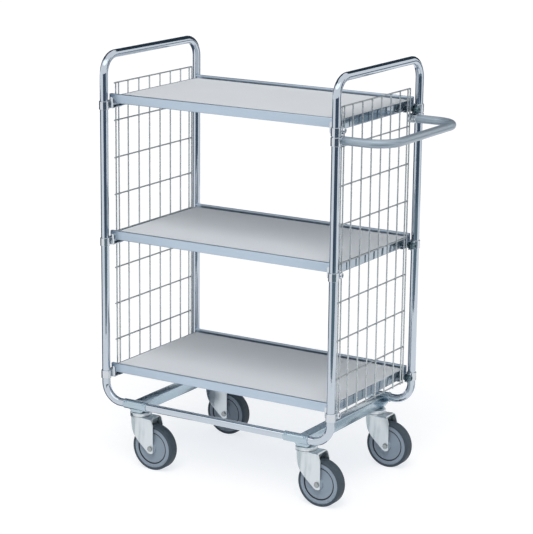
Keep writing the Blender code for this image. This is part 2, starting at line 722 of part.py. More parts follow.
def caster_fork():
    """Pressed fork about the swivel axis, at axle height: a bent channel trimmed to its side outline."""
    rise = FORK_TOP_Z - WHEEL_R
    outer = FORK_HALF_GAP + FORK_PLATE
    inner_r = FORK_BEND_R - FORK_PLATE
    foot = -FORK_TIP_R - OVERRUN
    quarter = [math.pi / 2 * k / 3 for k in range(4)]
    half = [(outer, foot)]
    half += [
        (outer - FORK_BEND_R + FORK_BEND_R * math.cos(a), rise - FORK_BEND_R + FORK_BEND_R * math.sin(a))
        for a in quarter
    ]
    inside = [
        (outer - FORK_BEND_R + inner_r * math.cos(a), rise - FORK_BEND_R + inner_r * math.sin(a))
        for a in reversed(quarter)
    ]
    inside += [(FORK_HALF_GAP, foot)]
    channel_outline = half + [(-y, z) for y, z in reversed(half)]
    channel_outline += [(-y, z) for y, z in reversed(inside)] + inside
    crown_end = TRAIL * (1 + FORK_REAR_SHARES[0][0]) + OVERRUN
    channel = prism(channel_outline, -FORK_CROWN_R, crown_end, "X")
    side = prism(fork_outline(rise), -outer - OVERRUN, outer + OVERRUN, "Y")
    body = boolean(channel, side, "INTERSECT")
    plate_z = rise - FORK_PLATE / 2
    crown = moved(round_bar(FORK_CROWN_R, FORK_PLATE / 2 - GAP, "Z", SWIVEL_SIDES), 0, 0, plate_z)
    race = turned(
        [
            (RACE_INNER_R, plate_z),
            (RACE_OUTER_R, plate_z),
            (RACE_OUTER_R, rise + RACE_HEIGHT / 2),
            ((RACE_OUTER_R + RACE_INNER_R) / 2 + GAP, rise + RACE_HEIGHT),
            (RACE_INNER_R, rise + RACE_HEIGHT),
        ],
        SWIVEL_SIDES,
        closed=True,
    )
    body = union(body, crown, race)
    king_r = facet_radius(KINGPIN_R + GAP, SWIVEL_SIDES)
    king_hole = round_bar(king_r, FORK_PLATE + OVERRUN, "Z", SWIVEL_SIDES)
    axle_hole = round_bar(facet_radius(AXLE_R + GAP, AXLE_SIDES), outer + OVERRUN, "Y", AXLE_SIDES)
    return cut(body, moved(king_hole, 0, 0, plate_z), moved(axle_hole, TRAIL, 0, 0))


def fork_outline(rise):
    """Side view of a leg in (x, z) from the swivel axis and the axle height, round at the tip."""
    front = [(TRAIL * (1 + along), rise * up) for along, up in FORK_FRONT_SHARES]
    rear = [(TRAIL * (1 + along), rise * up) for along, up in FORK_REAR_SHARES]
    angles = [math.radians(215 + 25 * k) for k in range(6)]
    tip = [(TRAIL + FORK_TIP_R * math.cos(a), FORK_TIP_R * math.sin(a)) for a in angles]
    crown = (rear[-1][0] - FORK_BEND_R, rise)
    return [(front[0][0], rise + OVERRUN)] + front[1:] + tip + rear + [crown, (crown[0], rise + OVERRUN)]


def caster_axle():
    """Axle bolt along Y: head on the front leg, shank through the hub, nut on the rear leg."""
    seat = FORK_HALF_GAP + FORK_PLATE + GAP
    end = seat + AXLE_HEAD_HEIGHT
    profile = [
        (0, -end),
        (AXLE_HEAD_R, -end),
        (AXLE_HEAD_R, -seat),
        (AXLE_R, -seat),
        (AXLE_R, seat),
        (AXLE_HEAD_R, seat),
        (AXLE_HEAD_R, end),
        (0, end),
    ]
    return turned(profile, AXLE_SIDES, "Y")


def caster_tyre():
    """Rubber tyre with round shoulders; a flat facet of the tread stands on the floor."""
    tread_r = facet_radius(WHEEL_R, WHEEL_SIDES)
    half = WHEEL_WIDTH / 2
    profile = [
        (TYRE_SEAT_R, -TYRE_SEAT_WIDTH / 2),
        (TYRE_FACE_R, -half),
        (tread_r, -TREAD_WIDTH / 2),
        (tread_r, TREAD_WIDTH / 2),
        (TYRE_FACE_R, half),
        (TYRE_SEAT_R, TYRE_SEAT_WIDTH / 2),
    ]
    return turned(profile, WHEEL_SIDES, "Y", closed=True)


def caster_hub():
    """Hub with a wide rim, dished thread guards and a boss that runs up to the fork legs."""
    half = TYRE_SEAT_WIDTH / 2 - GAP
    boss = FORK_HALF_GAP - GAP
    bore = facet_radius(AXLE_R + GAP, WHEEL_SIDES)
    one_side = [
        (bore, boss),
        (HUB_BOSS_R, boss),
        (GUARD_R, half - GUARD_INSET),
        (RIM_INNER_R, half),
        (TYRE_SEAT_R - GAP, half),
    ]
    profile = one_side + [(radius, -along) for radius, along in reversed(one_side)]
    return turned(profile, WHEEL_SIDES, "Y", closed=True)


def main():
    for thing in list(bpy.data.objects):
        bpy.data.objects.remove(thing)
    shades = make_materials()
    root = empty("trolley", (-CENTRE_X, 0, 0))
    build_frames(root, shades)
    build_base(root, shades)
    build_shelves(root, shades)
    build_clamps(root, shades)
    build_panels(root, shades)
    build_handle(root, shades)
    build_casters(root, shades)


main()
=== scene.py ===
"""Looks of the shelf trolley: chromed tube frames, laminate shelves, wire mesh ends and four casters."""
from math import cos, pi, radians, sin, tau

import bmesh
import bpy
from mathutils import Matrix, Vector


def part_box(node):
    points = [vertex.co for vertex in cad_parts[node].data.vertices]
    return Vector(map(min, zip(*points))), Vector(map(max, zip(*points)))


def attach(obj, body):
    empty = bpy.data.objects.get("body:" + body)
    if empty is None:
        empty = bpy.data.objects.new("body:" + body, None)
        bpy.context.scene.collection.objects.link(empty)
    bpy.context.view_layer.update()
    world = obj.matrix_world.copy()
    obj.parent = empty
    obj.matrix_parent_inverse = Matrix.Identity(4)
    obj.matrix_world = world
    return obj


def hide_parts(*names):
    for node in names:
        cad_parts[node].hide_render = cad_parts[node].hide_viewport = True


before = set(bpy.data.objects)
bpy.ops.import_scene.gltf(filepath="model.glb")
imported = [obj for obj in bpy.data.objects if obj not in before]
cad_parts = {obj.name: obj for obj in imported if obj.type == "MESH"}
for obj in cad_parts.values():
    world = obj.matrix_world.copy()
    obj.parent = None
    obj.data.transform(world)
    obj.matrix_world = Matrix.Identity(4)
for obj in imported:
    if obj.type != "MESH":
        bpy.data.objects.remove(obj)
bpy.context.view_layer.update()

# Sizes shared with the frame, in metres. Places along X are measured from the middle of the posts.
TUBE_R = 0.011
WALL = 0.0015
SLIP = 0.0002  # clear gap between a tube and the ring or sleeve it sits in
LEFT_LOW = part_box("end_frame_left")[0]
RIGHT_LOW, RIGHT_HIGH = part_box("end_frame_right")
MIDDLE = (LEFT_LOW.x + RIGHT_HIGH.x) / 2
POST_X = (RIGHT_HIGH.x - LEFT_LOW.x) / 2 - TUBE_R
POST_Y = RIGHT_HIGH.y - TUBE_R
HOOP_Z = RIGHT_HIGH.z - TUBE_R
BASE_Z = RIGHT_LOW.z + TUBE_R
BEND_R = 0.050
FRONT_REAR = (("front", -1), ("rear", 1))
LEFT_RIGHT = (("left", -1), ("right", 1))
CORNERS = [(f"{depth}_{side}", sx, sy) for side, sx in LEFT_RIGHT for depth, sy in FRONT_REAR]
LEVELS = [(level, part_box(f"{level}_shelf_trim_front")[1].z) for level in ("bottom", "middle", "top")]
MIRROR_X = Vector((1, 0, 0))
MIRROR_Y = Vector((0, 1, 0))

# Fineness of the meshes
TUBE_SIDES = 40
RING_SIDES = 48
WHEEL_SIDES = 96
CREASE = radians(38)  # edges sharper than this stay sharp


# Mesh tools

def made(bm, name):
    bmesh.ops.recalc_face_normals(bm, faces=bm.faces)
    mesh = bpy.data.meshes.new(name)
    bm.to_mesh(mesh)
    bm.free()
    return mesh


def together(meshes):
    bm = bmesh.new()
    for mesh in meshes:
        bm.from_mesh(mesh)
    mesh = bpy.data.meshes.new("together")
    bm.to_mesh(mesh)
    bm.free()
    return mesh


def at(mesh, x=0.0, y=0.0, z=0.0, turn=None, flip=None):
    """A copy turned (angle, axis), mirrored along an axis and moved."""
    copy = mesh.copy()
    if turn:
        copy.transform(Matrix.Rotation(turn[0], 4, turn[1]))
    if flip:
        copy.transform(Matrix.Scale(-1, 4, flip))
        copy.flip_normals()
    copy.transform(Matrix.Translation((x, y, z)))
    return copy


def circle(radius, sides):
    return [(radius * cos(tau * k / sides), radius * sin(tau * k / sides)) for k in range(sides)]


def quarter(steps):
    """Angles from 0 to a quarter turn."""
    return [pi / 2 * k / steps for k in range(steps + 1)]


def filleted(points, radius, steps, closed=False):
    """Corners of a polyline rounded by arcs. Works in two or three dimensions."""
    points = [Vector(p).to_3d() if len(p) == 2 else Vector(p) for p in points]
    out = []
    count = len(points)
    for i, corner in enumerate(points):
        if not closed and i in (0, count - 1):
            out.append(corner)
            continue
        back = points[i - 1] - corner
        ahead = points[(i + 1) % count] - corner
        angle = back.angle(ahead)
        if pi - angle < 0.02:
            out.append(corner)
            continue
        first_run = 1.0 if not closed and i == 1 else 0.49
        last_run = 1.0 if not closed and i == count - 2 else 0.49
        reach = min(radius * cos(angle / 2) / sin(angle / 2), back.length * first_run, ahead.length * last_run)
        back.normalize()
        ahead.normalize()
        r = reach * sin(angle / 2) / cos(angle / 2)
        centre = corner + (back + ahead).normalized() * (r / sin(angle / 2))
        first = corner + back * reach - centre
        last = corner + ahead * reach - centre
        axis = first.cross(last).normalized()
        sweep_angle = first.angle(last)
        for k in range(steps + 1):
            out.append(centre + Matrix.Rotation(sweep_angle * k / steps, 3, axis) @ first)
    return out


def flat(points):
    return [(p[0], p[1]) for p in points]


def skin(rings, closed_along=False):
    """Faces between rings of equal length, with a cap at both ends or closed from the last ring to the first."""
    bm = bmesh.new()
    rows = [[bm.verts.new(p) for p in ring] for ring in rings]
    pairs = list(zip(rows, rows[1:]))
    if closed_along:
        pairs.append((rows[-1], rows[0]))
    for a, b in pairs:
        for k in range(len(a)):
            bm.faces.new((a[k], a[k - 1], b[k - 1], b[k]))
    if not closed_along:
        bm.faces.new(rows[0])
        bm.faces.new(rows[-1])
    return made(bm, "skin")


def frames_along(path, up):
    """Point, side and across vectors at each point of a path, carried without twist."""
    side = Vector(up)
    heading = (path[1] - path[0]).normalized()
    out = []
    for i, point in enumerate(path):
        tangent = path[min(i + 1, len(path) - 1)] - path[max(i - 1, 0)]
        tangent.normalize()
        side = heading.rotation_difference(tangent) @ side
        side = (side - tangent * side.dot(tangent)).normalized()
        heading = tangent
        out.append((point, side, tangent.cross(side)))
    return out


def swept(path, outline, up=(0, 0, 1), scales=None):
    """A solid bar: an outline carried along a path, scaled point by point where scales are given."""
    rings = []
    for i, (point, side, across) in enumerate(frames_along(path, up)):
        s = scales[i] if scales else 1
        rings.append([point + side * (u * s) + across * (v * s) for u, v in outline])
    return skin(rings)


def straight(a, b, cuts):
    a, b = Vector(a), Vector(b)
    return [a.lerp(b, k / cuts) for k in range(cuts + 1)]


def round_bar(path, radius, sides, up, ease, rim):
    """A round bar along a path. Its rims shrink to a share of the radius over the length of the ease."""
    first = (path[1] - path[0]).normalized()
    last = (path[-1] - path[-2]).normalized()
    path = [path[0], path[0] + first * ease] + path[1:-1] + [path[-1] - last * ease, path[-1]]
    scales = [rim] + [1] * (len(path) - 2) + [rim]
    return swept(path, circle(radius, sides), up, scales)


def closed_tube(path, up=(0, 0, 1)):
    """A tube of the frame, whose ends are hidden in sleeves."""
    return round_bar(path, TUBE_R, TUBE_SIDES, up, TUBE_R * 0.12, 0.88)


def open_tube(path):
    """A hollow tube, open at both ends."""
    rings = []
    steps = frames_along(path, (0, 0, 1))
    for reach, run in ((TUBE_R, steps), (TUBE_R - WALL, steps[::-1])):
        rings += [[p + s * (u * reach) + c * (v * reach) for u, v in circle(1, TUBE_SIDES)] for p, s, c in run]
    return skin(rings, closed_along=True)


LAID = {"X": Matrix.Rotation(pi / 2, 4, "Y"), "Y": Matrix.Rotation(-pi / 2, 4, "X"), "Z": Matrix.Identity(4)}


def turned(profile, sides=RING_SIDES, axis="Z", closed=False):
    """A profile of (radius, place along the axis), turned about the axis."""
    bm = bmesh.new()
    rows = []
    for r, z in profile:
        if r == 0:
            rows.append([bm.verts.new((0, 0, z))])
        else:
            rows.append([bm.verts.new((r * cos(tau * (k + .5) / sides), r * sin(tau * (k + .5) / sides), z))
                         for k in range(sides)])
    pairs = list(zip(rows, rows[1:]))
    if closed:
        pairs.append((rows[-1], rows[0]))
    for a, b in pairs:
        for k in range(sides):
            loop = [a[k % len(a)], a[(k + 1) % len(a)], b[(k + 1) % len(b)], b[k % len(b)]]
            bm.faces.new(list(dict.fromkeys(loop)))
    bm.transform(LAID[axis])
    return made(bm, "turned")


def both_faces(half):
    """The half profile of a wheel's part, mirrored to its other face and turned about the axle."""
    mirrored = half[:-1] if half[-1][1] == 0 else half
    return turned(half + [(r, -y) for r, y in reversed(mirrored)], WHEEL_SIDES, "Y", closed=True)


def plate(outline, low, high, axis, ease=0.0):
    """A flat outline pushed from low to high along an axis, its rims eased by a small bevel."""
    place = {"X": lambda p, q, a: (a, p, q), "Y": lambda p, q, a: (p, a, q), "Z": lambda p, q, a: (p, q, a)}[axis]
    bm = bmesh.new()
    near = [bm.verts.new(place(p[0], p[1], low)) for p in outline]
    far = [bm.verts.new(place(p[0], p[1], high)) for p in outline]
    ends = [bm.faces.new(near), bm.faces.new(far[::-1])]
    for k in range(len(near)):
        bm.faces.new((near[k - 1], near[k], far[k], far[k - 1]))
    bmesh.ops.recalc_face_normals(bm, faces=bm.faces)
    if ease:
        rims = list({edge for face in ends for edge in face.edges})
        bmesh.ops.bevel(bm, geom=rims, offset=ease, segments=2, profile=0.5, affect="EDGES", clamp_overlap=True)
    return made(bm, "plate")


def folded(middle_line, thickness, bend):
    """Outline of folded sheet metal from the line through the middle of the sheet."""
    line = filleted(middle_line, bend, 5)
    sides = ([], [])
    for i, p in enumerate(line):
        before = line[max(i - 1, 0)]
        after = line[min(i + 1, len(line) - 1)]
        run = (after - before).normalized()
        across = Vector((-run.y, run.x, 0)) * thickness / 2
        sides[0].append(p + across)
        sides[1].append(p - across)
    return flat(sides[0] + sides[1][::-1])


def boolean(base, tool, operation):
    a = bpy.data.objects.new("a", base)
    b = bpy.data.objects.new("b", tool)
    for thing in (a, b):
        bpy.context.collection.objects.link(thing)
    step = a.modifiers.new("step", "BOOLEAN")
    step.operation = operation
    step.solver = "EXACT"
    step.object = b
    mesh = bpy.data.meshes.new_from_object(a.evaluated_get(bpy.context.evaluated_depsgraph_get()))
    for thing in (a, b):
        bpy.data.objects.remove(thing)
    return mesh


def eased(mesh, width, angle):
    """Soft edges wherever a mesh bends by more than the angle, in degrees."""
    thing = bpy.data.objects.new("eased", mesh)
    bpy.context.collection.objects.link(thing)
    step = thing.modifiers.new("ease", "BEVEL")
    step.width = width
    step.segments = 2
    step.limit_method = "ANGLE"
    step.angle_limit = radians(angle)
    mesh = bpy.data.meshes.new_from_object(thing.evaluated_get(bpy.context.evaluated_depsgraph_get()))
    bpy.data.objects.remove(thing)
    return mesh


def hexagon_nut(radius, height, axis="X", side=1):
    """A hexagon nut with eased faces. It stands from 0 towards side."""
    ease = height * 0.16
    rings = []
    for share, z in ((0.93, 0), (1, ease * 0.7), (1, height - ease), (0.9, height)):
        reach = radius * share
        rings.append([(reach * cos(tau * (k + .5) / 6), reach * sin(tau * (k + .5) / 6), z) for k in range(6)])
    mesh = skin(rings)
    if side < 0:
        mesh.transform(Matrix.Rotation(pi, 4, "X"))
    mesh.transform(LAID[axis])
    return mesh


def piece(name, mesh, finish, instead, body="trolley", where=(0, 0, 0)):
    """A named piece that rides on a body, in place of one of the frame's own nodes."""
    mesh.materials.clear()
    mesh.materials.append(finish.material)
    mesh.shade_smooth()
    mesh.set_sharp_from_angle(angle=CREASE)
    thing = bpy.data.objects.new(name, mesh)
    bpy.context.collection.objects.link(thing)
    thing.location = where
    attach(thing, body)
    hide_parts(instead)


# Finishes

PAINTED_SHADE_START, PAINTED_SHADE_FULL = 0.0140, 0.0165  # how far inboard of the post the painted shade on the rear clamps begins and is full
TREAD_LOW, TREAD_HIGH = 0.0605, 0.0620  # radii between which the tyre's shoulder turns to tread
MOULD_RINGS = 5200.0  # ridges on the tyre's shoulders, in radians to the metre
GROOVE_R = 0.0430  # the groove between the hub's rim and its disc


class Field:
    """A number that varies over a surface, so that sums on it read as plain sums."""

    def __init__(self, finish, socket):
        self.finish = finish
        self.socket = socket

    def _sum(self, operation, *terms):
        return self.finish.node("ShaderNodeMath", {"operation": operation}, dict(enumerate(terms)))

    def __add__(self, other):
        return self._sum("ADD", self, other)

    def __sub__(self, other):
        return self._sum("SUBTRACT", self, other)

    def __rsub__(self, other):
        return self._sum("SUBTRACT", other, self)

    def __mul__(self, other):
        return self._sum("MULTIPLY", self, other)

    def __pow__(self, other):
        return self._sum("POWER", self, other)

    def __abs__(self):
        return self._sum("ABSOLUTE", self)

    __radd__ = __add__
    __rmul__ = __mul__


class Nodes:
    """A node tree, filled through one method."""

    def __init__(self, owner):
        owner.use_nodes = True
        self.tree = owner.node_tree

    def node(self, kind, settings=None, inputs=None, out=0):
        made_node = self.tree.nodes.new(kind)
        for key, value in (settings or {}).items():
            setattr(made_node, key, value)
        self.feed(made_node, inputs or {})
        return Field(self, made_node.outputs[out])

    def feed(self, target, inputs):
        for key, value in inputs.items():
            if isinstance(value, Field):
                self.tree.links.new(value.socket, target.inputs[key])
            else:
                target.inputs[key].default_value = value

    def mix(self, factor, first, second):
        return self.node("ShaderNodeMix", {"data_type": "RGBA"},
                         {0: factor, 6: colour(first), 7: colour(second)}, 2)

    def seen(self):
        """1 for rays from the camera, off metal or through glass, 0 for the light that falls on things."""
        camera, metal, glass = (self.node("ShaderNodeLightPath", out=f"Is {kind} Ray")
                                for kind in ("Camera", "Glossy", "Transmission"))
        beyond = self.node("ShaderNodeMath", {"operation": "MAXIMUM"}, {0: metal, 1: glass})
        return self.node("ShaderNodeMath", {"operation": "MAXIMUM"}, {0: camera, 1: beyond})


class Finish(Nodes):
    """One material and the nodes that give it its look."""

    def __init__(self, name):
        self.material = bpy.data.materials.new(name)
        super().__init__(self.material)
        self.shader = self.tree.nodes["Principled BSDF"]
        self.place = self.node("ShaderNodeTexCoord", out="Object")

    def noise(self, scale, detail, stretch=None):
        """Cloudy values about 0.5, with so many clouds to the metre. A small stretch draws them out along an axis."""
        where = self.place
        if stretch:
            where = self.node("ShaderNodeVectorMath", {"operation": "MULTIPLY"}, {0: where, 1: stretch})
        return self.node("ShaderNodeTexNoise", None, {"Vector": where, "Scale": scale, "Detail": detail})

    def along(self, axis):
        """The place along one axis of the piece, in metres."""
        return self.node("ShaderNodeSeparateXYZ", None, {0: self.place}, axis)

    def off_axle(self):
        """The distance from a wheel's axle, in metres."""
        x, z = self.along("X"), self.along("Z")
        return (x * x + z * z) ** 0.5

    def window(self, value, low, high, to_low=0.0, to_high=1.0):
        """Value brought from low..high to to_low..to_high, with soft ends and no overshoot."""
        return self.node("ShaderNodeMapRange", {"interpolation_type": "SMOOTHSTEP"},
                         {0: value, 1: low, 2: high, 3: to_low, 4: to_high})

    def bump(self, height, distance):
        return self.node("ShaderNodeBump", None, {"Height": height, "Distance": distance})

    def surface(self, **inputs):
        self.feed(self.shader, {key.replace("_", " "): value for key, value in inputs.items()})
        return self


def colour(value):
    return value if isinstance(value, Field) else (*value, 1.0)


def chrome_finish(name, base, haze, ripple, ears=None):
    """Plated steel with clouds, faint smears and a few pits. Haze is its roughness, ripple the depth of its waves.

    Ears is a painted shade: the darker tone that the rear clamps are given inboard of the post.
    """
    f = Finish(name)
    cloud = f.noise(14, 3)
    smear = f.window(f.noise(55, 2, (1, 1, 0.2)), 0.45, 0.75)
    pits = f.window(f.noise(900, 1), 0.70, 0.78)
    tint = f.mix(cloud, [c * 0.95 for c in base], [min(c * 1.05, 1) for c in base])
    if ears:
        # Painted shade: on the rear clamps, inboard of the post, the tint is darkened towards the ears colour
        y = f.along("Y")
        rear = f.window(y, 0.0, 0.02)
        inboard = f.window(y, POST_Y - PAINTED_SHADE_FULL, POST_Y - PAINTED_SHADE_START, 1.0, 0.0)
        tint = f.mix(inboard * rear, tint, ears)
    return f.surface(Base_Color=f.mix(pits, tint, [c * 0.7 for c in base]), Metallic=1.0,
                     Roughness=haze + 0.05 * smear + 0.10 * pits,
                     Normal=f.bump(f.noise(30, 2) + 0.02 * f.noise(600, 1), ripple))


def zinc_finish():
    """Zinc plate with grey streaks that run down the pressed faces."""
    light, dark = (0.67, 0.72, 0.75), (0.43, 0.50, 0.53)
    f = Finish("zinc_plate")
    streaks = f.noise(70, 3, (1, 1, 0.10))
    cloud = f.noise(18, 2)
    grain = f.noise(1400, 2)
    tint = f.mix(f.window(0.75 * streaks + 0.25 * cloud, 0.33, 0.56), dark, light)
    return f.surface(Base_Color=tint, Metallic=0.95, Roughness=0.20 + 0.12 * streaks + 0.05 * grain,
                     Normal=f.bump(0.5 * grain + streaks, 0.00004))


def drawn_finish(name, stretch, dark, light, metallic, haze, drag, depth):
    """Sheet metal with fine lines along it, which add drag to its roughness and have some depth."""
    f = Finish(name)
    drawn = f.noise(60, 3, stretch)
    cloud = f.noise(9, 2)
    tint = f.mix(0.6 * drawn + 0.4 * cloud, dark, light)
    return f.surface(Base_Color=tint, Metallic=metallic, Roughness=haze + drag * drawn, Normal=f.bump(drawn, depth))


def board_finish():
    """Pale laminate with light and dark specks, a little smoother where goods have rubbed it."""
    f = Finish("laminate_board")
    speck = f.window(f.noise(1100, 2), 0.55, 0.72)
    dark_speck = f.window(f.noise(800, 2, (1, 1.3, 1)), 0.66, 0.74)
    cloud = f.noise(5, 3)
    rub = f.window(f.noise(30, 4, (0.4, 3, 1)), 0.56, 0.74)
    plain = f.mix(cloud, (0.718, 0.735, 0.762), (0.768, 0.784, 0.812))
    speckled = f.mix(0.30 * speck, plain, (0.80, 0.81, 0.83))
    return f.surface(Base_Color=f.mix(0.22 * dark_speck, speckled, (0.36, 0.37, 0.40)),
                     Roughness=0.60 + 0.12 * cloud - 0.12 * rub, Specular_IOR_Level=0.25,
                     Normal=f.bump(f.noise(700, 3) + 0.4 * rub, 0.00005))


def wire_finish(first_z, pitch_z):
    """Plated wire, a little darker round the welds where it was heated."""
    f = Finish("plated_wire")
    from_weld = f.node("ShaderNodeMath", {"operation": "PINGPONG"}, {0: f.along("Z") - first_z, 1: pitch_z / 2})
    weld = f.window(from_weld, 0.0015, 0.006, 1.0, 0.0)
    cloud = f.noise(60, 3)
    tint = f.mix(cloud, (0.52, 0.57, 0.59), (0.63, 0.67, 0.69))
    return f.surface(Base_Color=f.mix(0.45 * weld, tint, (0.27, 0.29, 0.31)), Metallic=0.95,
                     Roughness=0.20 + 0.14 * cloud + 0.12 * weld, Normal=f.bump(f.noise(350, 2), 0.00005))


def handle_finish():
    """Satin coat with a fine orange peel, polished where hands hold the bar."""
    f = Finish("satin_handle")
    held = f.window(abs(f.along("Y")), 0.05, 0.17, 1.0, 0.0) * f.window(f.along("X"), 0.05, 0.12)
    cloud = f.noise(22, 3)
    tint = f.mix(cloud, (0.335, 0.405, 0.465), (0.385, 0.455, 0.525))
    return f.surface(Base_Color=f.mix(0.25 * held, tint, (0.44, 0.49, 0.54)), Metallic=0.50,
                     Roughness=0.34 - 0.06 * held + 0.06 * cloud,
                     Normal=f.bump(f.noise(900, 2), 0.00006))


def rubber_finish():
    """Grey rubber: faint mould rings on the shoulders and dust worn into the tread."""
    f = Finish("grey_rubber")
    radius = f.off_axle()
    rings = f.node("ShaderNodeMath", {"operation": "SINE"}, {0: radius * MOULD_RINGS})
    tread = f.window(radius, TREAD_LOW, TREAD_HIGH)
    dust = f.window(f.noise(120, 4), 0.48, 0.70)
    cloud = f.noise(35, 3)
    tint = f.mix(cloud, (0.048, 0.069, 0.088), (0.067, 0.089, 0.110))
    return f.surface(Base_Color=f.mix((0.10 + 0.20 * tread) * dust, tint, (0.14, 0.17, 0.19)),
                     Roughness=0.62 + 0.20 * dust, Specular_IOR_Level=0.35,
                     Normal=f.bump(f.noise(1500, 2) + 0.15 * (1 - tread) * rings, 0.00006))


def hub_finish():
    """Moulded grey plastic, with painted shade in the groove between the rim and the guard disc."""
    f = Finish("grey_plastic_hub")
    # Painted shade: the groove between the rim and the guard disc is darkened to near black
    groove = f.window(abs(f.off_axle() - GROOVE_R), 0.0012, 0.0022, 1.0, 0.0)
    cloud = f.noise(28, 3)
    scuff = f.window(f.noise(160, 3), 0.60, 0.75)
    plain = f.mix(cloud, (0.268, 0.322, 0.385), (0.308, 0.365, 0.432))
    rubbed = f.mix(0.25 * scuff, plain, (0.38, 0.43, 0.48))
    return f.surface(Base_Color=f.mix(0.9 * groove, rubbed, (0.018, 0.026, 0.038)), Roughness=0.50 + 0.10 * cloud,
                     Specular_IOR_Level=0.45, Normal=f.bump(f.noise(2200, 2), 0.00005))


def stage_finish(name, seen, strength=1.0):
    """A plain self-lit card."""
    f = Finish(name)
    return f.surface(Base_Color=(0, 0, 0, 1), Roughness=1.0, Emission_Color=seen, Emission_Strength=strength,
                     Specular_IOR_Level=0.0)


BRIGHT = (0.62, 0.66, 0.70)
chrome = chrome_finish("chrome", (0.53, 0.59, 0.66), 0.06, 0.00012)
bright = chrome_finish("bright_chrome", BRIGHT, 0.10, 0.00006)
# The clamps' steel, with painted shade on the rear clamps inboard of the post
clamp_steel_painted_shade = chrome_finish("clamp_steel_painted_shade", BRIGHT, 0.10, 0.00006, ears=(0.13, 0.19, 0.22))
plated = chrome_finish("plated_cross_member", (0.44, 0.54, 0.61), 0.21, 0.00002)
nut_steel = chrome_finish("nut_steel", (0.34, 0.37, 0.38), 0.22, 0.00004)
zinc = zinc_finish()
trim = drawn_finish("brushed_trim", (0.05, 9, 9), (0.43, 0.525, 0.63), (0.53, 0.625, 0.725), 0.95, 0.28, 0.10, 0.00004)
band = drawn_finish("rolled_band", (9, 0.05, 9), (0.37, 0.435, 0.50), (0.44, 0.505, 0.57), 1.0, 0.07, 0.07, 0.00002)
board = board_finish()
rubber = rubber_finish()
hub_plastic = hub_finish()


# Bent tube frames and base rails

def along_x(x):
    return MIDDLE + x


SLEEVE_LENGTH = 0.073
BEND_TO_SLEEVE = 0.012
SLEEVE_X = POST_X - BEND_R - SLEEVE_LENGTH / 2 - BEND_TO_SLEEVE
BEND_STEPS = 18
for side_name, side in LEFT_RIGHT:
    foot = along_x(side * (SLEEVE_X + SLIP))
    post = along_x(side * POST_X)
    corners = [(foot, -POST_Y, BASE_Z), (post, -POST_Y, BASE_Z), (post, -POST_Y, HOOP_Z),
               (post, POST_Y, HOOP_Z), (post, POST_Y, BASE_Z), (foot, POST_Y, BASE_Z)]
    piece(f"frame_tube_{side_name}", closed_tube(filleted(corners, BEND_R, BEND_STEPS), up=(0, 1, 0)), chrome,
          instead=f"end_frame_{side_name}")
for depth_name, depth in FRONT_REAR:
    run = straight((along_x(-SLEEVE_X + SLIP), depth * POST_Y, BASE_Z),
                   (along_x(SLEEVE_X - SLIP), depth * POST_Y, BASE_Z), 8)
    piece(f"rail_tube_{depth_name}", closed_tube(run), chrome, instead=f"base_rail_{depth_name}")


# Cross members with their sleeves, saddles, set screws and weld beads

CROSS_X = 0.2605
CROSS_HALF = 0.015
CROSS_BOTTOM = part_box("cross_member_right")[0].z
CROSS_TOP = BASE_Z + 0.004
SLEEVE_R = 0.0130
SLEEVE_HALF = SLEEVE_LENGTH / 2
SCREW_REACH = 0.029  # from the middle of the sleeve to each screw
SCREW_TURN = radians(50)  # from the top of the sleeve towards its outer side
SADDLE_SHOULDER = 0.0135  # below the middle of the sleeve
SADDLE_NEAR, SADDLE_FAR = 0.011, 0.034  # inboard of the middle of the sleeve
BEAD_R = 0.0016
BEAD_STEPS = 24


def weld_bead(path):
    """A row of overlapping weld ripples."""
    scales = [1 + 0.16 * (k % 2) for k in range(len(path))]
    scales[0] = scales[-1] = 0.3
    return swept(path, circle(BEAD_R, 8), scales=scales)


def cross_member():
    outline = flat(filleted([(CROSS_X - CROSS_HALF, CROSS_BOTTOM), (CROSS_X + CROSS_HALF, CROSS_BOTTOM),
                             (CROSS_X + CROSS_HALF, CROSS_TOP), (CROSS_X - CROSS_HALF, CROSS_TOP)],
                            0.003, 5, closed=True))
    end = POST_Y - 0.010
    parts = [plate(outline, -end, end, "Y", 0.0006)]
    sleeve = turned([(SLEEVE_R - 0.0017, -SLEEVE_HALF), (SLEEVE_R - 0.0006, -SLEEVE_HALF),
                     (SLEEVE_R, -SLEEVE_HALF + 0.0007), (SLEEVE_R, SLEEVE_HALF - 0.0007),
                     (SLEEVE_R - 0.0006, SLEEVE_HALF), (SLEEVE_R - 0.0017, SLEEVE_HALF)], axis="X", closed=True)
    saddle_low = CROSS_BOTTOM + 0.0006
    saddle = flat(filleted([(CROSS_X - 0.032, BASE_Z - 0.006), (CROSS_X - 0.028, BASE_Z - SADDLE_SHOULDER),
                            (CROSS_X - CROSS_HALF - 0.002, saddle_low), (CROSS_X + CROSS_HALF + 0.001, saddle_low),
                            (CROSS_X + 0.026, BASE_Z - SADDLE_SHOULDER), (CROSS_X + 0.028, BASE_Z - 0.006)],
                           0.003, 3, closed=True))
    for side in (-1, 1):
        y = side * POST_Y
        parts.append(at(sleeve, SLEEVE_X, y, BASE_Z))
        low_y, high_y = sorted((side * (POST_Y - SADDLE_NEAR), side * (POST_Y - SADDLE_FAR)))
        parts.append(plate(saddle, low_y, high_y, "Y", 0.0008))
        for x in (SLEEVE_X - SCREW_REACH, SLEEVE_X + SCREW_REACH):
            parts.append(set_screw(x, y, side))
        seam_y = side * (POST_Y - 0.0105)
        shares = [2 * k / BEAD_STEPS - 1 for k in range(BEAD_STEPS + 1)]
        parts.append(weld_bead([Vector((CROSS_X + CROSS_HALF * s, seam_y + side * 0.0008 * abs(s), CROSS_TOP - 0.0005))
                                for s in shares]))
    return together(parts)


